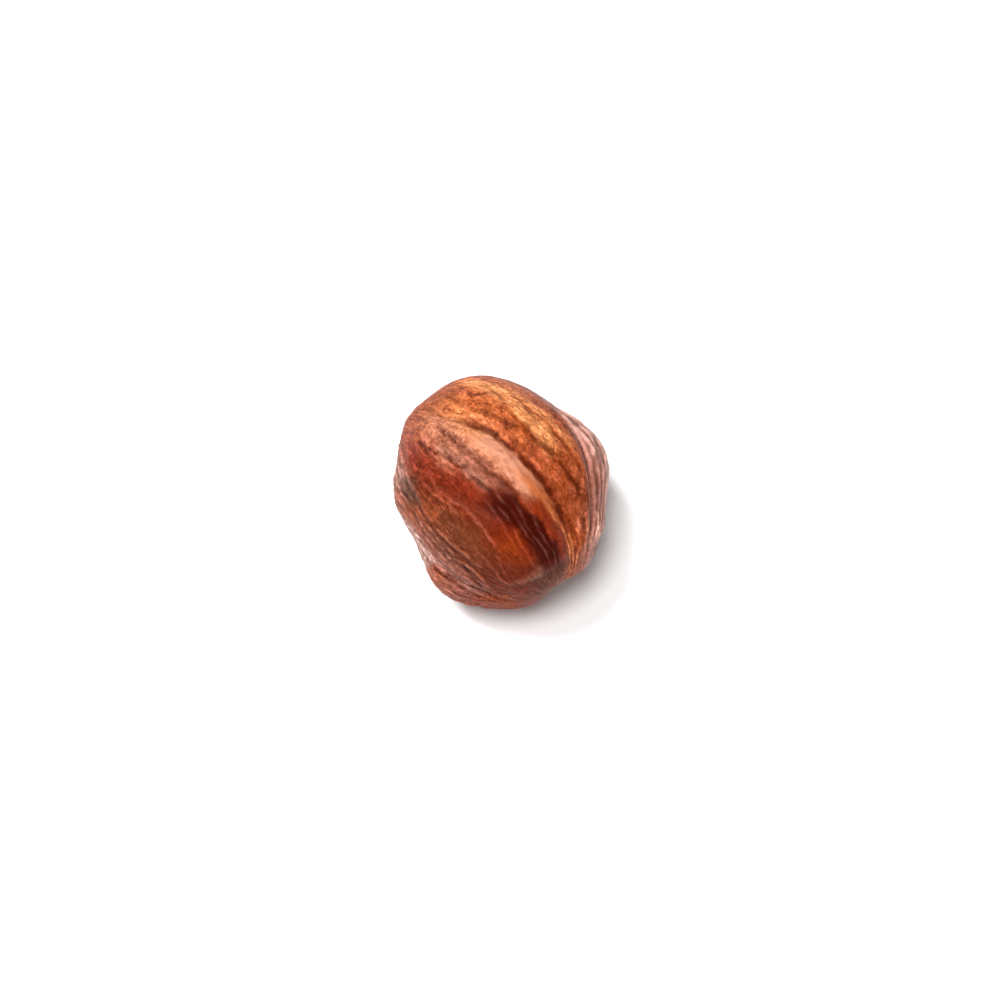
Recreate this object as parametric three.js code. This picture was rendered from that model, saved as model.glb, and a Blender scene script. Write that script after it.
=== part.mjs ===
// A shelled hazelnut kernel in its brown papery skin, lying on its side.
// Millimetres, +Z up. +X runs from the blunt base of the kernel to its tip.
// The origin is the middle of the bottom of the bounding box, on the surface that it rests on.

import * as THREE from 'three';
import { ImprovedNoise } from 'three/addons/math/ImprovedNoise.js';
import { mergeVertices } from 'three/addons/utils/BufferGeometryUtils.js';

// Driving dimensions of the smooth ovoid under the folds.
const LENGTH = 14.7;
const WIDTH = 13.1;
const HEIGHT = 12.9;

// The small flat spot that the kernel rests on: how much of the ovoid's underside is flattened.
const REST_DEPTH = 0.2;

// Each edge of the starting icosahedron is cut in this many places.
const DETAIL = 19;

const HALF = new THREE.Vector3(LENGTH / 2, WIDTH / 2, HEIGHT / 2);

// The skin's veins fan out of the base scar and meet again at the tip.
// Both lie a little off the long axis, low on the -Y side.
const BASE_SCAR = new THREE.Vector3(-0.92, -0.36, -0.19).multiply(HALF);
const TIP = new THREE.Vector3(0.97, -0.18, -0.155).multiply(HALF);

// Every place on the skin is given by two angles in degrees:
// along, from 0 at the base scar to 180 at the tip, and
// around, from 0 on top, positive towards +Y, to 180 underneath.

// Broad lobes and hollows. height is in mm, outwards. spread is in degrees, first with the veins
// and then across them.
const SWELLS = [
  { name: 'upper shoulder', along: 82, around: 40, spread: [34, 14], height: 0.36 },
  { name: 'base shoulder', along: 42, around: 52, spread: [14, 15], height: 0.4 },
  { name: 'base corner', along: 19, around: 12, spread: [7, 9], height: 0.35 },
  { name: 'top crest', along: 104, around: 12, spread: [36, 7], height: 0.4 },
  { name: 'front face', along: 108, around: -22, spread: [32, 13], height: 0.2 },
  { name: 'waist above the right lobe', along: 80, around: 72, spread: [10, 12], height: -0.15 },
  { name: 'right lobe', along: 104, around: 74, spread: [11, 14], height: 0.5 },
  { name: 'waist below the right lobe', along: 127, around: 82, spread: [9, 11], height: -0.4 },
  { name: 'notch above the tip lobe', along: 147, around: 84, spread: [4.5, 6], height: -0.8 },
  { name: 'cleft beside the tip', along: 172, around: 138, spread: [5, 5], height: -0.6 },
  { name: 'hollow above the tip', along: 171, around: 36, spread: [5, 5], height: -0.6 },
  { name: 'hollow under the tip', along: 165, around: 125, spread: [8, 10], height: -0.65 },
  { name: 'lower flank lobe', along: 116, around: -97, spread: [17, 15], height: 0.42 },
  { name: 'left corner', along: 50, around: -50, spread: [9, 8], height: 0.25 },
  { name: 'left flank hollow', along: 68, around: -88, spread: [20, 20], height: -0.65 },
  { name: 'hollow beside the base', along: 27, around: -58, spread: [12, 11], height: -0.35 },
  { name: 'back lobe', along: 78, around: 122, spread: [34, 13], height: 0.35 },
  { name: 'hollow behind the base', along: 40, around: 165, spread: [16, 18], height: -0.3 },
  { name: 'underside lobe', along: 100, around: -136, spread: [36, 14], height: 0.3 },
];

// Long folds that run with the veins. around holds evenly spaced stations between from and to.
const FOLDS = [
  { name: 'shoulder furrow', from: 42, to: 142, around: [13, 18, 22, 25, 29], width: 3.8, height: -0.55 },
  { name: 'shoulder rim', from: 80, to: 140, around: [53, 47, 42, 39], width: 4, height: 0.22 },
  { name: 'right groove', from: 84, to: 146, around: [60, 54, 49, 46], width: 3.5, height: -0.45 },
  { name: 'front fold', from: 95, to: 150, around: [-8, -2, 2, 4], width: 3.5, height: -0.15 },
  { name: 'lower flank furrow', from: 70, to: 148, around: [-60, -64, -65, -61], width: 4, height: -0.5 },
  { name: 'back furrow', from: 30, to: 150, around: [100, 96, 98, 94], width: 4.5, height: -0.28 },
  { name: 'back crease', from: 45, to: 120, around: [138, 142, 136], width: 3.5, height: -0.25 },
  { name: 'under furrow', from: 30, to: 155, around: [168, 172, 160, 166], width: 5, height: -0.3 },
  { name: 'far flank furrow', from: 36, to: 148, around: [-112, -116, -110, -114], width: 4.5, height: -0.3 },
  { name: 'far flank crease', from: 60, to: 140, around: [-158, -154, -160], width: 3.5, height: -0.2 },
];

// How fast a fold fades in and out at its two ends, in degrees along.
const FOLD_FADE = 14;

// The base is blunt, and the tip is a slight pucker.
const BASE_FLATTENING = { spread: 18, height: -0.15 };
const TIP_PUCKER = { spread: 12, height: -0.15 };

// Low ribs between the folds: count per turn, slow changes from base to tip, and height in mm.
const RIBS = { perTurn: 20, changes: 3.3, height: 0.16 };

const chord = TIP.clone().sub(BASE_SCAR).normalize();
const up = new THREE.Vector3(0, 0, 1).addScaledVector(chord, -chord.z).normalize();
const side = new THREE.Vector3().crossVectors(up, chord);
const middle = BASE_SCAR.clone().lerp(TIP, 0.5);
const noise = new ImprovedNoise();

function bell(distance, spread) {
  return Math.exp(-0.5 * (distance / spread) ** 2);
}

function degreesOf(y, x) {
  return THREE.MathUtils.radToDeg(Math.atan2(y, x));
}

function turnBetween(a, b) {
  return THREE.MathUtils.euclideanModulo(a - b + 180, 360) - 180;
}

function ovoidPoint(direction) {
  return direction.clone().multiplyScalar(1 / direction.clone().divide(HALF).length());
}

function skinPlace(point) {
  const fromScar = point.clone().sub(BASE_SCAR);
  const fromTip = point.clone().sub(TIP);
  const across = fromScar.clone().addScaledVector(chord, -fromScar.dot(chord));
  return {
    along: 2 * degreesOf(fromScar.length(), fromTip.length()),
    around: degreesOf(across.dot(side), across.dot(up)),
    outward: point.clone().sub(middle).normalize(),
  };
}

// The outward, with-the-veins and across-the-veins directions at a place on the skin.
function skinAxes(along, around) {
  const a = THREE.MathUtils.degToRad(along);
  const w = THREE.MathUtils.degToRad(around);
  const spoke = up.clone().multiplyScalar(Math.cos(w)).addScaledVector(side, Math.sin(w));
  const outward = spoke.clone().multiplyScalar(Math.sin(a)).addScaledVector(chord, -Math.cos(a));
  const withVeins = spoke.clone().multiplyScalar(Math.cos(a)).addScaledVector(chord, Math.sin(a));
  const acrossVeins = new THREE.Vector3().crossVectors(outward, withVeins);
  return { outward, withVeins, acrossVeins };
}

function swellHeight(swell, place) {
  const { outward, withVeins, acrossVeins } = skinAxes(swell.along, swell.around);
  const facing = place.outward.dot(outward);
  const alongOff = degreesOf(place.outward.dot(withVeins), facing);
  const acrossOff = degreesOf(place.outward.dot(acrossVeins), facing);
  return swell.height * bell(alongOff, swell.spread[0]) * bell(acrossOff, swell.spread[1]);
}

function foldCentre(fold, along) {
  const share = THREE.MathUtils.clamp((along - fold.from) / (fold.to - fold.from), 0, 1);
  const station = share * (fold.around.length - 1);
  const before = Math.min(Math.floor(station), fold.around.length - 2);
  return THREE.MathUtils.lerp(fold.around[before], fold.around[before + 1], station - before);
}

function foldHeight(fold, place) {
  const start = THREE.MathUtils.smoothstep(place.along, fold.from - FOLD_FADE, fold.from + FOLD_FADE);
  const end = 1 - THREE.MathUtils.smoothstep(place.along, fold.to - FOLD_FADE, fold.to + FOLD_FADE);
  const offCentre = turnBetween(place.around, foldCentre(fold, place.along));
  return fold.height * start * end * bell(offCentre, fold.width);
}

function ribHeight(place) {
  const turn = THREE.MathUtils.degToRad(place.around);
  const radius = RIBS.perTurn / (2 * Math.PI);
  const change = (RIBS.changes * place.along) / 180;
  return RIBS.height * noise.noise(radius * Math.cos(turn), radius * Math.sin(turn), change);
}

function reliefHeight(place) {
  let height = 0;
  for (const swell of SWELLS) {
    height += swellHeight(swell, place);
  }
  for (const fold of FOLDS) {
    height += foldHeight(fold, place);
  }
  height += BASE_FLATTENING.height * bell(place.along, BASE_FLATTENING.spread);
  height += TIP_PUCKER.height * bell(180 - place.along, TIP_PUCKER.spread);
  height += ribHeight(place) * Math.sin(THREE.MathUtils.degToRad(place.along));
  return height;
}

function kernelPoint(direction) {
  const point = ovoidPoint(direction);
  return point.addScaledVector(direction, reliefHeight(skinPlace(point)));
}

function kernelGeometry() {
  const ball = new THREE.IcosahedronGeometry(1, DETAIL);
  ball.deleteAttribute('normal');
  ball.deleteAttribute('uv');
  const geometry = mergeVertices(ball);
  const places = geometry.getAttribute('position');
  const direction = new THREE.Vector3();
  for (let i = 0; i < places.count; i += 1) {
    direction.fromBufferAttribute(places, i).normalize();
    const point = kernelPoint(direction);
    places.setXYZ(i, point.x, point.y, point.z);
  }
  return geometry;
}

function flattenRestSpot(geometry) {
  geometry.computeBoundingBox();
  const floor = geometry.boundingBox.min.z + REST_DEPTH;
  const places = geometry.getAttribute('position');
  for (let i = 0; i < places.count; i += 1) {
    places.setZ(i, Math.max(places.getZ(i), floor));
  }
}

function standOnOrigin(geometry) {
  geometry.computeBoundingBox();
  const { min, max } = geometry.boundingBox;
  geometry.translate(-(min.x + max.x) / 2, -(min.y + max.y) / 2, -min.z);
}

function hazelnutKernel() {
  const geometry = kernelGeometry();
  flattenRestSpot(geometry);
  standOnOrigin(geometry);
  geometry.computeVertexNormals();
  const skin = new THREE.MeshStandardMaterial({ color: 0x9a4a22, roughness: 0.5, metalness: 0 });
  const mesh = new THREE.Mesh(geometry, skin);
  mesh.name = 'hazelnut_kernel';
  return mesh;
}

const hazelnut = new THREE.Group();
hazelnut.name = 'hazelnut';
hazelnut.add(hazelnutKernel());

export default hazelnut;
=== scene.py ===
"""A shelled hazelnut kernel in its brown papery skin, lying on a white table and seen from above."""

import itertools
import math

import bpy
import numpy as np
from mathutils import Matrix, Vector
from mathutils.bvhtree import BVHTree


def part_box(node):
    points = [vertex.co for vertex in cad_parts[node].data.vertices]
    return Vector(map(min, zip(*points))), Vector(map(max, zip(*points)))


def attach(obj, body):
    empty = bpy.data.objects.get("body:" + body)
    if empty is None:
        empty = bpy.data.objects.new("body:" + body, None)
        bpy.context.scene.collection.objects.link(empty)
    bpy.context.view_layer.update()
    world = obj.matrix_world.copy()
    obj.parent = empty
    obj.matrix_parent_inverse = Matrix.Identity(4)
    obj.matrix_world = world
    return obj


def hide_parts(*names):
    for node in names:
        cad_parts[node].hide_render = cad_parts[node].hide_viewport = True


NODE = "hazelnut_kernel"
MM = 0.001

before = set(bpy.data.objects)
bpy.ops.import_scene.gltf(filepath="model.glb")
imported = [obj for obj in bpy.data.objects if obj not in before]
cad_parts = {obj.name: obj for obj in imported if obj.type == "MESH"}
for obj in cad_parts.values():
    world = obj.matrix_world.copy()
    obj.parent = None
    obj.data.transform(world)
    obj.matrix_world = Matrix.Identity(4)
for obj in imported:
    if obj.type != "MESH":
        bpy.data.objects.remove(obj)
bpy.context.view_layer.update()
node_low, node_high = (np.array(corner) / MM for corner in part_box(NODE))
MIDDLE = (node_low + node_high) / 2
HALF = (node_high - node_low) / 2

# The veins of the skin fan out of the base scar and meet at the tip, as in the CAD model.
# Both are given as shares of the kernel's half size, from its middle.
BASE_SCAR = MIDDLE + HALF * (-0.895, -0.396, -0.228)
TIP = MIDDLE + HALF * (0.982, -0.219, -0.194)
CHORD = (TIP - BASE_SCAR) / np.linalg.norm(TIP - BASE_SCAR)
UP = np.array((0, 0, 1)) - CHORD * CHORD[2]
UP /= np.linalg.norm(UP)
SIDE = np.cross(UP, CHORD)
HUB = (BASE_SCAR + TIP) / 2

# The fine skin is a net of rows from base to tip and columns round the kernel.
ROWS = 152
COLUMNS = 640


# ---------------------------------------------------------------- noise

# How many slopes the noise draws from, and the gain that brings it to about -1 to 1.
SLOPES = 256
NOISE_GAIN = 1.6

# How far each octave is shifted from the last, so that their cells don't line up.
OCTAVE_SHIFT = 11.3

# How far from its origin the noise on the skin is read, in cells.
SKIN_SHIFT = 37.0

# How fast a ridge falls off beside the line where its noise is zero.
RIDGE_SLOPE = 2.4


def gradient_noise(points, seed):
    """Smooth noise from about -1 to 1 at an array of 3-D points, the same on every run."""
    rng = np.random.default_rng(seed)
    order = rng.permutation(SLOPES)
    slopes = rng.normal(size=(SLOPES, 3))
    slopes /= np.linalg.norm(slopes, axis=1, keepdims=True)
    cell = np.floor(points).astype(int)
    part = points - cell
    fade = part**3 * (part * (part * 6 - 15) + 10)
    total = np.zeros(points.shape[:-1])
    for corner in itertools.product((0, 1), repeat=3):
        spot = cell + corner
        pick = order[spot[..., 0] % SLOPES]
        pick = order[(pick + spot[..., 1]) % SLOPES]
        pick = order[(pick + spot[..., 2]) % SLOPES]
        reach = part - corner
        weight = np.prod(np.where(corner, fade, 1 - fade), axis=-1)
        total += weight * np.sum(slopes[pick] * reach, axis=-1)
    return total * NOISE_GAIN


def fractal(points, octaves, seed, gain=0.6):
    """Noise with finer and finer noise added to it, each octave half as large and gain as strong."""
    total = np.zeros(points.shape[:-1])
    for octave in range(octaves):
        shifted = points * 2**octave + OCTAVE_SHIFT * octave
        total += gain**octave * gradient_noise(shifted, seed + octave)
    return total


def skin_cells(along, around, across_cells, along_cells):
    """Places on the skin as points for noise, with that many cells round the kernel and base to tip."""
    turn = np.radians(around)
    radius = across_cells / (2 * math.pi)
    ahead = along / 180 * along_cells
    return np.stack((radius * np.cos(turn), radius * np.sin(turn), ahead), -1) + SKIN_SHIFT


def skin_noise(along, around, across_cells, along_cells, seed):
    """Smooth noise on the skin, with that many cells round the kernel and base to tip."""
    return gradient_noise(skin_cells(along, around, across_cells, along_cells), seed)


def ridges(noise):
    """Thin crests, 1 where the noise passes through zero and 0 away from it."""
    return (1 - np.minimum(np.abs(noise) * RIDGE_SLOPE, 1)) ** 2


# ---------------------------------------------------------------- places on the skin

# The gain on a patch's bell curve. What comes out above 1 is cut off, so its middle is even.
PATCH_GAIN = 1.6

# How a strip of tint fades: at its ends, in degrees along past and within them, and at its sides,
# between two multiples of its width.
STRIP_ENDS = (4, 8)
STRIP_SIDES = (0.8, 1.9)


def skin_place(points):
    """(along, around) in degrees: 0 to 180 from base scar to tip, and round from the top towards +Y."""
    from_scar = points - BASE_SCAR
    across = from_scar - (from_scar @ CHORD)[..., None] * CHORD
    scar_gap = np.linalg.norm(from_scar, axis=-1)
    tip_gap = np.linalg.norm(points - TIP, axis=-1)
    along = 2 * np.degrees(np.arctan2(scar_gap, tip_gap))
    around = np.degrees(np.arctan2(across @ SIDE, across @ UP))
    return along, around


def turn_between(a, b):
    return (a - b + 180) % 360 - 180


def bell(distance, spread):
    return np.exp(-0.5 * (distance / spread) ** 2)


def smooth_step(value, low, high):
    share = np.clip((value - low) / (high - low), 0, 1)
    return share * share * (3 - 2 * share)


def pole_fade(along, low, high):
    """0 at the base scar and the tip, and 1 away from them. low and high are sines of along."""
    return smooth_step(np.sin(np.radians(along)), low, high)


def end_fade(along, start, end, outside, inside):
    """1 between start and end, fading at both from that far inside to that far outside."""
    begun = smooth_step(along, start - outside, start + inside)
    return begun * (1 - smooth_step(along, end - inside, end + outside))


def centre_line(along, start, end, stations):
    """Where the line through evenly spaced around stations lies, at each place along it."""
    share = np.clip((along - start) / (end - start), 0, 1)
    return np.interp(share, np.linspace(0, 1, len(stations)), stations)


def skin_axes(along, around):
    """The outward, with-the-veins and across-the-veins directions at one place on the skin."""
    a, w = math.radians(along), math.radians(around)
    spoke = UP * math.cos(w) + SIDE * math.sin(w)
    outward = spoke * math.sin(a) - CHORD * math.cos(a)
    with_veins = spoke * math.cos(a) + CHORD * math.sin(a)
    return outward, with_veins, np.cross(outward, with_veins)


def patch_share(points, along, around, spread):
    """1 in the middle of a soft oval patch of skin, fading to 0 over the two spreads in degrees."""
    outward, with_veins, across_veins = skin_axes(along, around)
    facing = points - HUB
    facing = facing / np.linalg.norm(facing, axis=-1, keepdims=True)
    ahead = facing @ outward
    along_off = np.degrees(np.arctan2(facing @ with_veins, ahead))
    across_off = np.degrees(np.arctan2(facing @ across_veins, ahead))
    return np.clip(PATCH_GAIN * bell(along_off, spread[0]) * bell(across_off, spread[1]), 0, 1)


def strip_share(along, around, start, end, stations, width):
    """1 in the middle of a soft strip through the around stations, and 0 away from it."""
    off_centre = np.abs(turn_between(around, centre_line(along, start, end, stations)))
    sides = 1 - smooth_step(off_centre / width, *STRIP_SIDES)
    return end_fade(along, start, end, *STRIP_ENDS) * sides


# ---------------------------------------------------------------- lines on the skin

# Creases and ridges that run with the veins: first and last along, evenly spaced around stations,
# width in degrees around, height in mm, and shade, from -1 for dark to 1 for pale. Dark lines are partly
# dark veins and partly painted shade in their grooves, and pale lines partly pale fibres and partly
# painted sheen on their ridges.
LINES = [
    ("shoulder_furrow", 60, 140, (16.5, 20, 23, 26, 29), 1.5, -0.08, -0.5),
    ("shoulder_line_a", 64, 104, (23.5, 26.5, 30, 33), 0.9, -0.05, -0.8),
    ("shoulder_line_b", 84, 118, (29.5, 33, 37), 1.0, -0.05, -0.8),
    ("shoulder_line_c", 60, 112, (20.5, 21.5, 23, 25, 28.5), 0.7, 0.04, 0.3),
    ("shoulder_line_d", 74, 122, (38, 38.5, 40.5, 42.5), 0.8, -0.04, -0.6),
    ("shoulder_line_e", 70, 104, (43.5, 46, 48, 48.5), 0.9, -0.05, -0.8),
    ("base_crumple_a", 48, 64, (35, 31, 30.5, 33.5), 1.0, -0.06, -0.7),
    ("base_crumple_b", 44, 60, (27, 24, 23), 1.0, -0.05, -0.5),
    ("vein_line", 58, 110, (5, 4.5, 4, 5.5, 9.5), 0.8, -0.03, -0.7),
    ("vein_groove", 48, 106, (-7, -5, -3, -1.2, 0.5), 0.9, -0.07, -0.8),
    ("front_ridge_a", 99, 134, (2.5, 1.5, 2, 3), 0.42, 0.035, 0.4),
    ("front_ridge_b", 110, 148, (5.4, 4.4, 5.4, 5), 0.42, 0.035, 0.35),
    ("front_ridge_c", 106, 144, (-0.5, -2, -4.5, -7), 0.42, 0.035, 0.4),
    ("front_ridge_d", 116, 148, (8.5, 8, 9.3, 10), 0.42, 0.035, 0.3),
    ("front_ridge_e", 122, 147, (12.8, 12, 13.2), 0.42, 0.035, 0.3),
    ("front_ridge_f", 103, 126, (-4, -5.2, -8), 0.42, 0.035, 0.25),
    ("red_edge", 68, 140, (-13, -18.5, -16, -13, -15.5, -20.5, -28), 0.55, 0.05, 0.18),
    ("brown_ridge_a", 92, 128, (-35, -34, -33.5, -32.5), 0.7, 0.05, 0.25),
    ("brown_ridge_b", 72, 98, (-22, -20, -19), 0.7, 0.05, 0.2),
    ("brown_ridge_c", 112, 146, (-24, -27, -30, -33), 0.7, 0.05, 0.2),
    ("leaf_upper", 116, 146, (-40, -38.5, -41, -47, -54), 0.8, 0.08, 0.6),
    ("leaf_lower", 116, 138, (-41, -44.5, -49.5, -53), 1.0, -0.08, -1.0),
    ("flap_edge", 75, 136, (-65, -61, -59.5, -61, -61.5, -60), 0.8, 0.10, 1.0),
    ("flap_crease", 79, 134, (-66.5, -63.5, -62, -63.5, -63), 0.8, -0.09, -0.9),
    ("flap_line", 82, 142, (-72, -69.5, -70.5, -70), 0.9, -0.05, -0.6),
    ("right_groove", 84, 146, (59, 53.5, 48.5, 45.5), 1.2, -0.14, -0.8),
    ("back_furrow", 34, 146, (99, 96, 97, 95), 1.4, -0.10, -0.7),
    ("far_flank_furrow", 40, 144, (-113, -116, -111, -113), 1.4, -0.10, -0.7),
    ("under_furrow", 34, 150, (168, 171, 161, 165), 1.5, -0.10, -0.7),
]

# Sets of lines side by side: how many, first and last along, the around stations of the first and
# the last line, width, height and shade. Their pale lines are partly pale fibres and partly painted
# sheen on their ridges.
FANS = [
    ("right_lobe", 7, 82, 146, (62, 58, 55, 52.5, 50), (68, 76, 82, 76, 66), 0.9, 0.10, 0.65),
    ("tip_lobe", 5, 130, 170, (45, 44, 40, 30), (22, 25, 25, 20), 0.9, 0.09, 0.4),
    ("lower_flank", 5, 72, 112, (-36, -38, -39), (-50, -54, -55), 0.9, 0.05, 0.25),
    ("left_limb", 5, 34, 70, (-22, -26, -30), (-52, -54, -52), 1.0, 0.06, 0.3),
    ("back", 9, 30, 150, (104, 102, 101, 100), (160, 163, 154, 158), 1.1, 0.07, 0.3),
    ("under", 8, 32, 150, (176, 178, 170, 172), (236, 240, 242, 238), 1.1, 0.07, 0.3),
    ("far_flank", 6, 40, 146, (-82, -80, -80, -82), (-108, -110, -106, -108), 1.0, 0.07, 0.35),
]

# How a line wavers: degrees around, degrees along from bend to bend, and what is added to its seed.
WAVERS = [(1.3, 7, 0), (0.7, 2.5, 500)]

# How strong a line is on average and at least, how much that changes along it, over how many degrees
# along, and what is added to its seed.
LINE_STRENGTH = 0.6
LEAST_STRENGTH = 0.1
STRENGTH_CHANGE = 0.8
STRENGTH_CELL = 5
STRENGTH_SEED = 900

# How a line fades at its ends, in degrees along past and within them.
LINE_ENDS = (2, 5)


def all_lines():
    """LINES, and FANS told out line by line."""
    lines = list(LINES)
    for name, count, start, end, first, last, width, height, shade in FANS:
        for number in range(count):
            share = number / (count - 1)
            stations = tuple(a + share * (b - a) for a, b in zip(first, last))
            lines.append((f"{name}_{number}", start, end, stations, width, height, shade))
    return lines


def one_way(along, cell, seed):
    """Noise that changes only along the veins."""
    steps = np.linspace(0, 180, 4 * 180 + 1)
    still = np.full(steps.shape, 0.5 + seed)
    return np.interp(along, steps, gradient_noise(np.stack((steps / cell, still, still), -1), seed))


def line_share(along, around, start, end, stations, width, seed):
    """1 on a wavering, broken line through the around stations, and 0 beside it."""
    centre = centre_line(along, start, end, stations)
    for degrees, cell, shift in WAVERS:
        centre = centre + degrees * one_way(along, cell, seed + shift)
    strength = LINE_STRENGTH + STRENGTH_CHANGE * one_way(along, STRENGTH_CELL, seed + STRENGTH_SEED)
    strength = end_fade(along, start, end, *LINE_ENDS) * np.clip(strength, LEAST_STRENGTH, 1)
    return strength * bell(turn_between(around, centre), width)


# ---------------------------------------------------------------- the fine shape of the skin

# Patches where the skin is rough and cracked, or taut and smooth.
CRACKED = (88, 36, (46, 13))
TAUT = (122, -7, (23, 15))

# The lobe on the right, where the skin lies in long smooth pleats.
RIGHT_LOBE = (110, 66, (20, 11))

# The smooth top of the crest, as a strip.
CREST = (72, 122, (14, 14.5, 15, 16.5, 19.5), 3.8)

# How much of its grain the skin has lost in each of them, from 0 to 1.
TAUT_SMOOTHNESS = 0.4
LOBE_SMOOTHNESS = 0.5
CREST_SMOOTHNESS = 0.8

# The pucker just before the tip, a low fold across the veins, and its height in mm.
TIP_FOLD = (147, -2, (2.0, 10))
TIP_FOLD_HEIGHT = 0.06

# The veins' sideways wandering: degrees around, and a noise on the skin.
# A noise on the skin is its cells round the kernel, its cells from base to tip, and its seed.
WANDERINGS = [(5.0, (8, 3.5, 11)), (1.8, (24, 9, 12)), (0.7, (60, 30, 13))]

# The noises of the relief.
PATCHY = (10, 5, 20)
RIBS = (28, 3.0, 21)
WRINKLES = (56, 9, 22)
CRACKS = (84, 18, 23)
FIBRES = (110, 10, 24)

# The heights of ribs, wrinkles and fibres where the skin is loose, in mm.
LOOSE_HEIGHTS = (0.05, 0.05, 0.025)

# The depths of ribs, wrinkles and cracks where the skin is cracked, in mm.
CRACKED_DEPTHS = (0.012, 0.03, 0.03)

# The height and the cell size of the grain, in mm, how much of it there is everywhere, and how much
# more on cracked and on loose skin.
GRAIN_HEIGHT = 0.02
GRAIN_SIZE = 0.45
GRAIN_EVERYWHERE = 0.4
CRACKED_GRAIN = 0.6
LOOSE_GRAIN = 0.3

# How much of its loose relief and of its grain the taut skin has lost.
TAUT_LOOSE_LOSS = 0.85
TAUT_GRAIN_LOSS = 0.5

# The local height in mm that counts as fully proud, and how often the net is smoothed to find it.
FULLY_PROUD = 0.028
LEVELLINGS = 6


def wander(along, around):
    """The veins' small sideways wandering, in degrees."""
    return sum(degrees * skin_noise(along, around, *noise) for degrees, noise in WANDERINGS)


def smoothness(points, along, around):
    """How much of its grain the skin has lost, from 0 to 1."""
    taut = TAUT_SMOOTHNESS * patch_share(points, *TAUT)
    lobe = LOBE_SMOOTHNESS * patch_share(points, *RIGHT_LOBE)
    crest = CREST_SMOOTHNESS * strip_share(along, around, *CREST)
    return np.maximum(np.maximum(taut, lobe), crest)


def fine_relief(points, along, around):
    """The height in mm of everything finer than the CAD model's folds."""
    strayed = around + wander(along, around)
    cracked = patch_share(points, *CRACKED)
    taut = patch_share(points, *TAUT)
    loose = np.clip(1 - cracked - TAUT_LOOSE_LOSS * taut, 0, 1)
    patchy = smooth_step(skin_noise(along, around, *PATCHY), low=-0.35, high=0.35)
    ribs = ridges(skin_noise(along, strayed, *RIBS))
    wrinkles = ridges(skin_noise(along, strayed, *WRINKLES)) * patchy
    cracks = ridges(skin_noise(along, strayed, *CRACKS))
    fibres = ridges(skin_noise(along, strayed, *FIBRES))
    grain = fractal(points / GRAIN_SIZE, octaves=2, seed=25)
    grain_share = GRAIN_EVERYWHERE + CRACKED_GRAIN * cracked + LOOSE_GRAIN * loose
    grain_share *= 1 - TAUT_GRAIN_LOSS * taut

    height = GRAIN_HEIGHT * grain * grain_share
    for tall, shape in zip(LOOSE_HEIGHTS, (ribs, wrinkles, fibres)):
        height += tall * shape * loose
    for deep, shape in zip(CRACKED_DEPTHS, (ribs, wrinkles, cracks)):
        height -= deep * shape * cracked
    height *= pole_fade(along, low=0.1, high=0.5)
    for seed, (_name, start, end, stations, width, rise, _shade) in enumerate(all_lines()):
        height += rise * line_share(along, around, start, end, stations, width, seed)
    return height + TIP_FOLD_HEIGHT * patch_share(points, *TIP_FOLD)


def local_height(relief):
    """How far each point stands above the skin close round it, from -1 to 1."""
    level = relief.copy()
    for _levelling in range(LEVELLINGS):
        rows = np.pad(level, ((1, 1), (0, 0)), mode="edge")
        level = (rows[:-2] + 2 * rows[1:-1] + rows[2:]) / 4
        for step in (1, 2):
            level = (np.roll(level, step, axis=1) + 2 * level + np.roll(level, -step, axis=1)) / 4
    return np.clip((relief - level) / FULLY_PROUD, -1, 1)


# ---------------------------------------------------------------- the skin's colours

# Linear colours of the skin.
ORANGE = (0.30, 0.062, 0.014)
APRICOT = (0.42, 0.11, 0.032)
# A painted highlight colour, for the top of the shoulder, its rim and the start of the crest.
BRIGHT_HIGHLIGHT = (0.60, 0.235, 0.085)
PEACH = (0.53, 0.22, 0.128)
# A painted shade colour, for furrows and steep sides turned from the light.
FURROW_SHADE = (0.18, 0.030, 0.007)
RED = (0.20, 0.022, 0.005)
FLAME = (0.31, 0.040, 0.004)
DEEP_RED = (0.13, 0.008, 0.0015)
DARK = (0.045, 0.0030, 0.001)
BROWN = (0.14, 0.034, 0.013)
RUSSET = (0.115, 0.015, 0.004)
UMBER = (0.06, 0.022, 0.012)
MAUVE = (0.23, 0.085, 0.060)
PALE = (0.44, 0.29, 0.25)
GREY = (0.26, 0.14, 0.10)

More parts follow.
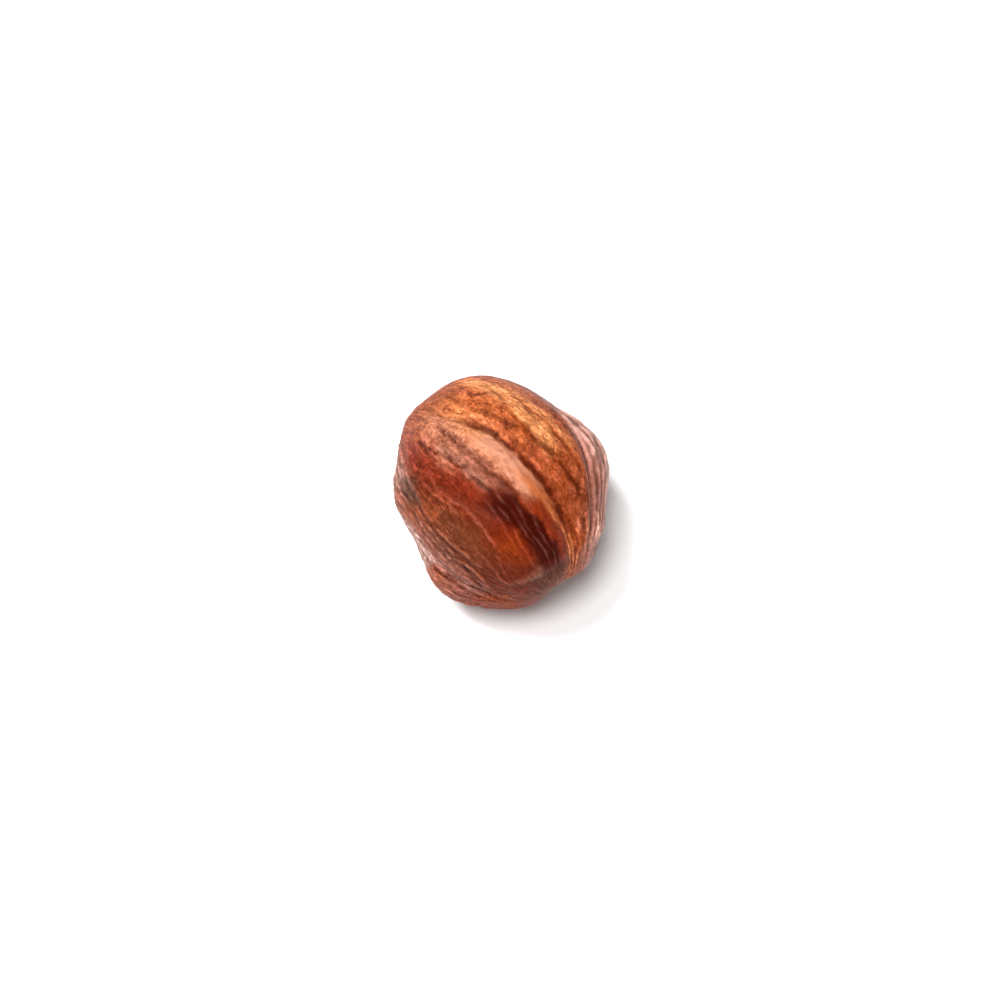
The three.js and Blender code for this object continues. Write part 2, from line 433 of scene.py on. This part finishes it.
# Patches of tint: colour, along, around, (spread with the veins, spread across them), strength.
TINTS = [
    (ORANGE, 86, 34, (48, 16), 1.0),
    (ORANGE, 52, 6, (20, 13), 0.9),
    (APRICOT, 60, 28, (13, 13), 0.8),
    (APRICOT, 54, 8, (8, 9), 0.5),
    # Painted shade in the shoulder furrow.
    (FURROW_SHADE, 110, 30, (14, 4.5), 0.5),
    (DARK, 122, 38.5, (4, 2.5), 0.75),
    # Painted highlight where the crest begins.
    (BRIGHT_HIGHLIGHT, 66, 13, (14, 5), 0.6),
    (ORANGE, 134, 25, (9, 3), 0.9),
    (RED, 78, -14, (30, 9), 1.0),
    (DEEP_RED, 62, -14, (8, 5), 0.5),
    (RED, 124, -12, (20, 9), 1.0),
    (DEEP_RED, 106, -14, (26, 6), 0.6),
    (DEEP_RED, 112, -2, (10, 5), 0.7),
    (DEEP_RED, 121, -12, (8, 5), 0.75),
    (BROWN, 44, 15, (4, 6), 0.5),
    (RED, 134, -14, (8, 6), 0.7),
    (FLAME, 133, -12, (8, 4), 0.8),
    (BROWN, 104, -29, (24, 9), 0.95),
    (ORANGE, 82, -29, (5, 3), 0.5),
    (UMBER, 110, -42, (14, 3.5), 0.6),
    (UMBER, 64, -34, (7, 5), 0.8),
    (PALE, 44, -38, (9, 6), 0.5),
    (MAUVE, 96, -46, (14, 4), 0.5),
    # The mauve and pale patches on the lower left lobe and limb are partly the skin's pale bloom and
    # partly painted reflection of the white studio on their grazing sides.
    (MAUVE, 118, -62, (26, 7), 0.9),
    (PALE, 80, -69, (17, 6), 0.9),
    (MAUVE, 112, -78, (20, 10), 0.9),
    (ORANGE, 104, -78, (8, 6), 0.5),
    (RUSSET, 158, -30, (15, 28), 0.95),
    # The mauve and pale patches on the right lobe are partly the skin's pale bloom and partly painted
    # reflection of the white studio on its grazing side.
    (MAUVE, 106, 62, (22, 9), 0.9),
    (PALE, 98, 64, (11, 4.5), 0.3),
    (PALE, 112, 77, (14, 5), 0.6),
    (PALE, 141, 51, (9, 7), 0.4),
    (PALE, 150, 62, (7, 7), 0.6),
    (PALE, 77, 61, (6, 3.5), 0.4),
    (PALE, 89, -76, (7, 6), 0.5),
    (ORANGE, 152, -76, (9, 8), 0.5),
    # Painted shade in the groove before the tip lobe.
    (FURROW_SHADE, 136, 31, (10, 3.5), 0.9),
    (MAUVE, 136, 46, (6, 4), 0.5),
    (PALE, 136, 46, (5, 3), 0.25),
    (RUSSET, 137, -31, (9, 8), 0.7),
    (GREY, 151, 15, (5, 6), 0.4),
    (PEACH, 64, 4, (14, 6), 0.55),
    (PALE, 135, -60, (6, 4), 0.15),
    (ORANGE, 114, 45, (13, 4), 0.7),
    (ORANGE, 146, 36, (12, 7), 0.6),
    # Painted shade in the cleft at the tip, and painted sheen on the fold just before it.
    (UMBER, 154, 0, (4, 6), 0.5),
    (GREY, 148, -2, (2.0, 8), 0.25),
]

# Strips of tint that follow the veins: colour, first and last along, evenly spaced around stations,
# width in degrees around, and strength.
STRIPS = [
    # Painted highlights along the top of the shoulder lobe and along its rim.
    (BRIGHT_HIGHLIGHT, 46, 102, (40, 38.5, 37, 35, 35), 2.7, 0.95),
    (BRIGHT_HIGHLIGHT, 62, 104, (43, 42.5, 43), 1.6, 0.6),
    # The pale strip down the left limb is partly pale bloom and partly painted reflection of the white
    # studio.
    (PALE, 56, 100, (-60, -68, -73), 5.5, 0.55),
    # Painted shade along the shoulder furrow.
    (FURROW_SHADE, 62, 140, (16.5, 20, 23, 26, 29), 2.2, 0.8),
    (MAUVE, 54, 114, (5, 4.5, 4, 6, 10), 2.2, 0.6),
    (GREY, 60, 102, (-2, -1.5, -0.5, 1), 1.6, 0.45),
    # The dark band down the lower front is partly dark red skin and partly painted shade, where that
    # face turns away from the light.
    (DARK, 100, 153, (0, 4, 7.5, 9, 7), 6.8, 1.0),
    # Painted shade on the steep side below the crest.
    (FURROW_SHADE, 94, 136, (8, 10, 13, 16), 2.2, 0.75),
    (RED, 104, 150, (10, 13, 16.5, 18.5), 2.6, 0.75),
    # The peach strip along the crest, and the apricot strip that carries it on towards the tip, are
    # partly the skin's own colour and partly painted highlight.
    (PEACH, 74, 114, (14, 14.5, 15, 16.5), 4.4, 1.0),
    (APRICOT, 100, 150, (16, 18, 21.5, 24.5, 26), 2.4, 0.9),
]

# The skin under all patches and strips goes from one of these to the other.
PLAIN_GROUND = (0.182, 0.0442, 0.0169)
RUDDY_GROUND = (0.24, 0.0496, 0.0112)

# The size in mm of the ruddy areas of the ground, and of the ragged edges of patches and strips.
RUDDY_SIZE = 4.5
RAGGED_SIZE = 1.3

# How far those edges stray, in mm.
PATCH_STRAY = 0.45
STRIP_STRAY = 0.2

# Dark and pale streaks along the veins, as cells round the kernel and from base to tip, and mottling,
# as its size in mm. Then how strong both are.
STREAK_CELLS = (80, 13)
MOTTLE_SIZE = 0.6
STREAKING = 0.27
MOTTLING = 0.17

# How much painted shade darkens the skin in its valleys, how much the dark lines darken it, and how much
# painted highlight lightens its crests.
VALLEY_SHADE = 0.8
LINE_DARKENING = 0.9
CREST_HIGHLIGHT = 0.45

# How much of its own tint and of PALE the skin gains as painted highlight on its crests, and on a ridge
# with pale fibres and painted sheen.
CREST_HIGHLIGHT_GAIN = (0.7, 0.13)
PALE_RIDGE_AND_SHEEN_GAIN = (0.75, 0.30)

# The tint from which a ridge's painted sheen is full. Darker skin shows less sheen, but at least this
# much.
FULL_SHINE = np.array((0.25, 0.10, 0.07))
LEAST_SHINE = 0.25

# How much each of red, green and blue fades as the skin darkens.
FADE = np.array((0.77, 1.0, 1.12))


def laid_over(tint, colour, share):
    """The tint with a colour over it as far as share says."""
    return tint + share[..., None] * (np.array(colour) - tint)


def base_tint(points):
    """The colour of the skin before its streaks and lines, with painted highlights on the crest and
    shoulder and painted shade in furrows and on the lower front, as an array of linear colours.
    """
    ragged = np.stack([fractal(points / RAGGED_SIZE, octaves=3, seed=seed) for seed in (31, 32, 33)], -1)
    ruddy = smooth_step(gradient_noise(points / RUDDY_SIZE, seed=34), low=-0.3, high=0.4)
    tint = laid_over(np.array(PLAIN_GROUND), RUDDY_GROUND, ruddy)
    strayed = points + PATCH_STRAY * ragged
    for colour, along, around, spread, strength in TINTS:
        tint = laid_over(tint, colour, strength * patch_share(strayed, along, around, spread))
    along, around = skin_place(points + STRIP_STRAY * ragged)
    for colour, start, end, stations, width, strength in STRIPS:
        share = strength * strip_share(along, around, start, end, stations, width)
        tint = laid_over(tint, colour, share)
    return tint


def skin_tint(points, along, around, relief):
    """The colour of the skin at each point, with painted shade in its valleys and grooves and painted
    highlight and sheen on its crests and ridges, as an array of linear colours.
    """
    strayed = around + wander(along, around)
    tint = base_tint(points)
    streak = fractal(skin_cells(along, strayed, *STREAK_CELLS), octaves=4, seed=41, gain=0.9)
    mottle = fractal(points / MOTTLE_SIZE, octaves=3, seed=46, gain=0.95)
    stand = local_height(relief)
    rough = pole_fade(along, low=0.1, high=0.6) * (1 - smoothness(points, along, around))
    # Painted shade darkens the valleys of the fine relief, and painted highlight lightens its crests.
    change = (STREAKING * streak + MOTTLING * mottle) * rough + VALLEY_SHADE * np.minimum(stand, 0)
    crest_highlight = CREST_HIGHLIGHT * np.maximum(stand, 0)
    pale_ridge_and_sheen = np.zeros(along.shape)
    # Dark lines darken the skin, partly with their own dark colour and partly as painted shade in their
    # grooves; pale lines add pale fibre colour and painted sheen on their ridges.
    for seed, (_name, start, end, stations, width, _rise, shade) in enumerate(all_lines()):
        share = line_share(along, around, start, end, stations, width, seed)
        change = change + LINE_DARKENING * min(shade, 0) * share
        pale_ridge_and_sheen = np.maximum(pale_ridge_and_sheen, max(shade, 0) * share)
    tint = tint * np.exp(change[..., None] * FADE)
    tint = tint + crest_highlight[..., None] * (CREST_HIGHLIGHT_GAIN[0] * tint + CREST_HIGHLIGHT_GAIN[1] * np.array(PALE))
    # The painted sheen on ridges follows the tint, paler where the skin is paler.
    shine = np.array(PALE) * np.clip(tint / FULL_SHINE, LEAST_SHINE, 1)
    return tint + pale_ridge_and_sheen[..., None] * (PALE_RIDGE_AND_SHEEN_GAIN[0] * tint + PALE_RIDGE_AND_SHEEN_GAIN[1] * shine)


# ---------------------------------------------------------------- the kernel's mesh

# Points of the CAD mesh closer than this are one, in mm, and the mesh is then subdivided this often.
WELD_GAP = 0.001
SUBDIVISIONS = 2


def cad_surface():
    """A ray-castable smooth copy of the CAD kernel, in metres."""
    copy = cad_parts[NODE].copy()
    copy.data = copy.data.copy()
    bpy.context.collection.objects.link(copy)
    weld = copy.modifiers.new("weld", "WELD")
    weld.merge_threshold = WELD_GAP * MM
    smooth = copy.modifiers.new("smooth", "SUBSURF")
    smooth.levels = SUBDIVISIONS
    tree = BVHTree.FromObject(copy, bpy.context.evaluated_depsgraph_get())
    bpy.data.objects.remove(copy)
    return tree


def cast_net(tree):
    """Points in mm where rays from the hub pass through the CAD surface, as rows of columns."""
    net = np.zeros((ROWS + 1, COLUMNS, 3))
    start = Vector(HUB * MM)
    for row in range(ROWS + 1):
        a = math.pi * row / ROWS
        for column in range(COLUMNS):
            w = 2 * math.pi * column / COLUMNS
            spoke = UP * math.cos(w) + SIDE * math.sin(w)
            ray = Vector(spoke * math.sin(a) - CHORD * math.cos(a))
            net[row, column] = tree.ray_cast(start, ray)[0] / MM
    return net


def net_normals(net):
    """Outward directions of the net's points."""
    round_step = np.roll(net, -1, axis=1) - np.roll(net, 1, axis=1)
    row_step = np.gradient(net, axis=0)
    normals = np.cross(row_step, round_step)
    normals[0] = np.mean(normals[1], axis=0)
    normals[-1] = np.mean(normals[-2], axis=0)
    normals /= np.linalg.norm(normals, axis=-1, keepdims=True)
    outward = np.sum(normals * (net - HUB), axis=-1, keepdims=True)
    return np.where(outward < 0, -normals, normals)


def net_faces():
    """The net's quads, and the two fans of triangles at its ends, as vertex numbers."""
    faces = []
    last = (ROWS - 1) * COLUMNS + 1
    for column in range(COLUMNS):
        beside = (column + 1) % COLUMNS
        faces.append((0, 1 + column, 1 + beside))
        faces.append((last, last - COLUMNS + beside, last - COLUMNS + column))
        for row in range(ROWS - 2):
            here, below = 1 + row * COLUMNS, 1 + (row + 1) * COLUMNS
            faces.append((here + column, below + column, below + beside, here + beside))
    return faces


def one_list(net):
    """The net as one list of points, its two end rows each taken once."""
    rows = net[1:-1].reshape(-1, net.shape[-1])
    return np.concatenate((net[0, :1], rows, net[-1, :1]))


def store(mesh, name, kind, values):
    """Stores the net's values on the mesh's points."""
    layer = mesh.attributes.new(name, kind, "POINT")
    field = {"FLOAT": "value", "FLOAT_VECTOR": "vector", "FLOAT_COLOR": "color"}[kind]
    layer.data.foreach_set(field, one_list(values).astype(np.float32).ravel())


def make_kernel():
    """The kernel's skin as one closed mesh, with what its material needs to know at each point."""
    net = cast_net(cad_surface())
    along, around = skin_place(net)
    relief = fine_relief(net, along, around)
    relief[0], relief[-1] = np.mean(relief[0]), np.mean(relief[-1])
    points = net + relief[..., None] * net_normals(net)
    points[..., 2] = np.maximum(points[..., 2], node_low[2])
    tint = skin_tint(net, along, around, relief)
    turn = np.radians(around + wander(along, around))
    flow = np.stack((np.cos(turn), np.sin(turn), along / 180), -1)
    gloss = patch_share(net, *TAUT)
    grain = 1 - smoothness(net, along, around)
    streaky = pole_fade(along, low=0.15, high=0.55) * grain

    mesh = bpy.data.meshes.new("hazelnut_skin")
    mesh.from_pydata(one_list(points * MM).tolist(), [], net_faces())
    mesh.update()
    mesh.shade_smooth()
    opaque = np.ones(along.shape + (1,))
    store(mesh, "tint", "FLOAT_COLOR", np.concatenate((tint, opaque), -1))
    store(mesh, "flow", "FLOAT_VECTOR", flow)
    store(mesh, "gloss", "FLOAT", gloss[..., None])
    store(mesh, "grain", "FLOAT", grain[..., None])
    store(mesh, "streaky", "FLOAT", streaky[..., None])
    kernel = bpy.data.objects.new("hazelnut_skin", mesh)
    bpy.context.collection.objects.link(kernel)
    return kernel


# ---------------------------------------------------------------- the skin's material

# What a dark streak, crack or speck leaves of the colour under it, and the gain of pale ones.
DARK_FILTER = (0.45, 0.30, 0.24)
PALE_FIBRE_GAIN = (1.6, 1.55, 1.6)
CRACK_EDGE_GAIN = (1.7, 1.7, 1.8)
PALE_SPECK_GAIN = (1.6, 1.5, 1.5)

# Each band of a noise: where it starts, where it is full, and how strong it is there.
DARK_STREAKS = (0.50, 0.72, 0.35)
DARK_FIBRES = (0.49, 0.62, 0.5)
PALE_FIBRES = (0.47, 0.36, 0.5)
DARK_SPECKS = (0.47, 0.62, 0.65)
PALE_SPECKS = (0.47, 0.32, 0.65)

# The level of the crack noise that a crack and its pale edge follow, with their bands beside it.
CRACK_LEVEL = 0.5
CRACK_BAND = (0.016, 0.0, 0.75)
CRACK_EDGE_LEVEL = 0.535
CRACK_EDGE_BAND = (0.02, 0.0, 0.6)

SPECKS_PER_METRE = 4200.0

# How much streaks and fibres change the bumps that specks raise, and the height of the bumps in mm.
STREAK_BUMP = -0.6
FIBRE_BUMP = -0.5
BUMP_STRENGTH = 0.5
BUMP_HEIGHT = 0.03

# The levels of the speck noise between which the skin's roughness rises, from what to what, and how
# much less of it the taut skin has.
SPECK_LEVELS = (0.3, 0.8)
ROUGHNESS = (0.46, 0.60)
TAUT_POLISH = 0.16

SPECULAR_LEVEL = 0.09
SPECULAR_TINT = (1.0, 0.52, 0.36)


class Nodes:
    """Short ways to add and join shader nodes."""

    def __init__(self, tree):
        tree.nodes.clear()
        self.tree = tree

    def add(self, kind, **settings):
        node = self.tree.nodes.new(kind)
        for name, value in settings.items():
            setattr(node, name, value)
        return node

    def link(self, output, socket):
        self.tree.links.new(output, socket)

    def fill(self, socket, value):
        """Gives a socket a number, a colour or the output of another node."""
        if isinstance(value, (int, float)):
            socket.default_value = value
        elif isinstance(value, tuple):
            socket.default_value = (*value, 1)
        else:
            self.link(value, socket)

    def math(self, operation, *values):
        node = self.add("ShaderNodeMath", operation=operation)
        for socket, value in zip(node.inputs, values):
            self.fill(socket, value)
        return node.outputs[0]

    def mix(self, share, a, b, blend="MIX"):
        node = self.add("ShaderNodeMix", data_type="RGBA", blend_type=blend)
        for socket, value in zip((node.inputs[0], node.inputs[6], node.inputs[7]), (share, a, b)):
            self.fill(socket, value)
        return node.outputs[2]

    def ramp(self, value, low, high, bottom, top):
        node = self.add("ShaderNodeMapRange", interpolation_type="SMOOTHSTEP")
        for socket, setting in zip(node.inputs, (value, low, high, bottom, top)):
            self.fill(socket, setting)
        return node.outputs[0]

    def attribute(self, name, output):
        return self.add("ShaderNodeAttribute", attribute_name=name).outputs[output]

    def stretched(self, vector, across, along, offset=0.0):
        """A vector scaled for noise that is finer across the veins than along them."""
        node = self.add("ShaderNodeMapping")
        self.link(vector, node.inputs["Vector"])
        node.inputs["Scale"].default_value = (across, across, along)
        node.inputs["Location"].default_value = (offset, offset, offset)
        return node.outputs[0]

    def noise(self, vector, scale=1.0, detail=2.0, roughness=0.5, distortion=0.0):
        node = self.add("ShaderNodeTexNoise")
        self.link(vector, node.inputs["Vector"])
        node.inputs["Scale"].default_value = scale
        node.inputs["Detail"].default_value = detail
        node.inputs["Roughness"].default_value = roughness
        node.inputs["Distortion"].default_value = distortion
        return node.outputs[0]

    def band(self, value, start, full, strength, where):
        """How strongly a band of a noise shows, where the skin carries it."""
        return self.math("MULTIPLY", self.ramp(value, start, full, 0.0, strength), where)

    def beside(self, value, level):
        """How far a value is from a level."""
        return self.math("ABSOLUTE", self.math("SUBTRACT", value, level))

    def filtered(self, colour, share, gain):
        """The colour, multiplied by the gain as far as share says."""
        return self.mix(share, colour, self.mix(1.0, colour, gain, "MULTIPLY"))


def skin_colour(n, streak, fibre, crack, speck):
    """The mesh's tint with streaks, fibres, cracks and specks over it."""
    grain = n.attribute("grain", "Fac")
    streaky = n.attribute("streaky", "Fac")
    from_edge = n.beside(crack, CRACK_EDGE_LEVEL)
    from_crack = n.beside(crack, CRACK_LEVEL)
    colour = n.attribute("tint", "Color")
    colour = n.filtered(colour, n.band(streak, *DARK_STREAKS, streaky), DARK_FILTER)
    colour = n.filtered(colour, n.band(fibre, *DARK_FIBRES, streaky), DARK_FILTER)
    colour = n.filtered(colour, n.band(fibre, *PALE_FIBRES, streaky), PALE_FIBRE_GAIN)
    colour = n.filtered(colour, n.band(from_edge, *CRACK_EDGE_BAND, streaky), CRACK_EDGE_GAIN)
    colour = n.filtered(colour, n.band(from_crack, *CRACK_BAND, streaky), DARK_FILTER)
    colour = n.filtered(colour, n.band(speck, *DARK_SPECKS, grain), DARK_FILTER)
    return n.filtered(colour, n.band(speck, *PALE_SPECKS, grain), PALE_SPECK_GAIN)


def skin_bump(n, streak, fibre, speck):
    """Fine bumps, raised by specks and lowered by streaks and fibres."""
    bump = n.add("ShaderNodeBump")
    bump.inputs["Strength"].default_value = BUMP_STRENGTH
    bump.inputs["Distance"].default_value = BUMP_HEIGHT * MM
    lowered = n.math("MULTIPLY_ADD", fibre, FIBRE_BUMP, speck)
    n.link(n.math("MULTIPLY_ADD", streak, STREAK_BUMP, lowered), bump.inputs["Height"])
    return bump.outputs[0]


def skin_roughness(n, speck):
    """The roughness of the skin, a little less where it is taut."""
    polish = n.math("MULTIPLY", n.attribute("gloss", "Fac"), TAUT_POLISH)
    return n.math("SUBTRACT", n.ramp(speck, *SPECK_LEVELS, *ROUGHNESS), polish)


def skin_material():
    """Papery nut skin: the tint of the mesh, with fine streaks, cracks and specks over it."""
    material = bpy.data.materials.new("hazelnut_skin")
    material.use_nodes = True
    n = Nodes(material.node_tree)
    flow = n.attribute("flow", "Vector")
    place = n.add("ShaderNodeTexCoord").outputs["Object"]
    along_veins = n.stretched(flow, across=14.0, along=11.0)
    streak = n.noise(along_veins, detail=6.0, roughness=0.75)
    along_veins = n.stretched(flow, across=42.0, along=30.0, offset=8.7)
    fibre = n.noise(along_veins, detail=5.0, roughness=0.75, distortion=0.5)
    along_veins = n.stretched(flow, across=9.0, along=9.0, offset=3.1)
    crack = n.noise(along_veins, detail=4.0, roughness=0.6, distortion=0.4)
    speck = n.noise(place, scale=SPECKS_PER_METRE, detail=4.0, roughness=0.75)

    shader = n.add("ShaderNodeBsdfPrincipled")
    n.link(skin_colour(n, streak, fibre, crack, speck), shader.inputs["Base Color"])
    n.link(skin_roughness(n, speck), shader.inputs["Roughness"])
    n.link(skin_bump(n, streak, fibre, speck), shader.inputs["Normal"])
    shader.inputs["Specular IOR Level"].default_value = SPECULAR_LEVEL
    shader.inputs["Specular Tint"].default_value = (*SPECULAR_TINT, 1)
    output = n.add("ShaderNodeOutputMaterial")
    n.link(shader.outputs[0], output.inputs["Surface"])
    return material


# ---------------------------------------------------------------- the studio

# The camera's angle round the kernel and above the table, in degrees.
CAMERA_AZIMUTH = 54
CAMERA_ELEVATION = 70

# The camera's lens and the width of its sensor, in mm.
LENS = 100
SENSOR = 36

# How wide the picture is at the kernel, and where the kernel's middle sits in it, in mm.
PICTURE_WIDTH = 62.5
SHIFT_RIGHT = 0.10
SHIFT_UP = 0.69

# How far the table reaches from the kernel, in metres, and its colour.
TABLE_REACH = 3.0
TABLE_WHITE = (0.92, 0.92, 0.92)

# The lights: how far each leans from straight above to the picture's right and away from the camera,
# how wide it is in degrees, and how strong.
LIGHTS = [
    ("overhead_light", -0.12, -0.17, 18, 2.4),
    ("window_light", -0.36, 0.14, 16, 2.85),
]

# The brightness of the studio's walls and ceiling, and the heights between which one becomes the
# other, as sines of the angle above the horizon.
WALL_BRIGHTNESS = 0.9
CEILING_BRIGHTNESS = 0.26
WALL_TOP = (0.10, 0.40)


def camera_axes():
    """The camera's right, up and backward directions."""
    a, e = math.radians(CAMERA_AZIMUTH), math.radians(CAMERA_ELEVATION)
    right = Vector((math.cos(a), math.sin(a), 0))
    back = Vector((math.sin(a) * math.cos(e), -math.cos(a) * math.cos(e), math.sin(e)))
    return right, back.cross(right), back


def make_camera():
    right, up, back = camera_axes()
    target = Vector(MIDDLE) - right * SHIFT_RIGHT - up * SHIFT_UP
    data = bpy.data.cameras.new("camera")
    data.lens = LENS
    data.sensor_width = SENSOR
    data.clip_start = 1 * MM
    camera = bpy.data.objects.new("camera", data)
    camera.location = (target + back * (PICTURE_WIDTH * LENS / SENSOR)) * MM
    camera.rotation_euler = back.to_track_quat("Z", "Y").to_euler()
    bpy.context.collection.objects.link(camera)
    bpy.context.scene.camera = camera


def table_material():
    """Plain white without any shine."""
    material = bpy.data.materials.new("white_table")
    material.use_nodes = True
    shader = material.node_tree.nodes["Principled BSDF"]
    shader.inputs["Base Color"].default_value = (*TABLE_WHITE, 1)
    shader.inputs["Roughness"].default_value = 1.0
    shader.inputs["Specular IOR Level"].default_value = 0.0
    return material


def make_floor():
    near, far = -TABLE_REACH, TABLE_REACH
    mesh = bpy.data.meshes.new("table_top")
    corners = [(near, near, 0), (far, near, 0), (far, far, 0), (near, far, 0)]
    mesh.from_pydata(corners, [], [(0, 1, 2, 3)])
    mesh.materials.append(table_material())
    floor = bpy.data.objects.new("table_top", mesh)
    bpy.context.collection.objects.link(floor)


def make_lights():
    """Soft lights from far off."""
    right, up, _back = camera_axes()
    above = Vector((0, 0, 1))
    away = Vector((up.x, up.y, 0)).normalized()
    for name, lean_right, lean_away, width, strength in LIGHTS:
        data = bpy.data.lights.new(name, "SUN")
        data.angle = math.radians(width)
        data.energy = strength
        lamp = bpy.data.objects.new(name, data)
        to_light = above + right * lean_right + away * lean_away
        lamp.rotation_euler = to_light.to_track_quat("Z", "Y").to_euler()
        bpy.context.collection.objects.link(lamp)


def make_world():
    """White walls near the horizon and a dimmer ceiling."""
    world = bpy.data.worlds.new("studio")
    bpy.context.scene.world = world
    world.use_nodes = True
    n = Nodes(world.node_tree)
    direction = n.add("ShaderNodeTexCoord").outputs["Generated"]
    parts = n.add("ShaderNodeSeparateXYZ")
    n.link(direction, parts.inputs[0])
    brightness = n.ramp(parts.outputs["Z"], *WALL_TOP, WALL_BRIGHTNESS, CEILING_BRIGHTNESS)
    background = n.add("ShaderNodeBackground")
    background.inputs["Color"].default_value = (1, 1, 1, 1)
    n.link(brightness, background.inputs["Strength"])
    output = n.add("ShaderNodeOutputWorld")
    n.link(background.outputs[0], output.inputs["Surface"])


kernel = make_kernel()
kernel.data.materials.append(skin_material())
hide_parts(NODE)
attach(kernel, "root")

make_camera()
make_floor()
make_lights()
make_world()
bpy.context.scene.view_settings.view_transform = "Standard"
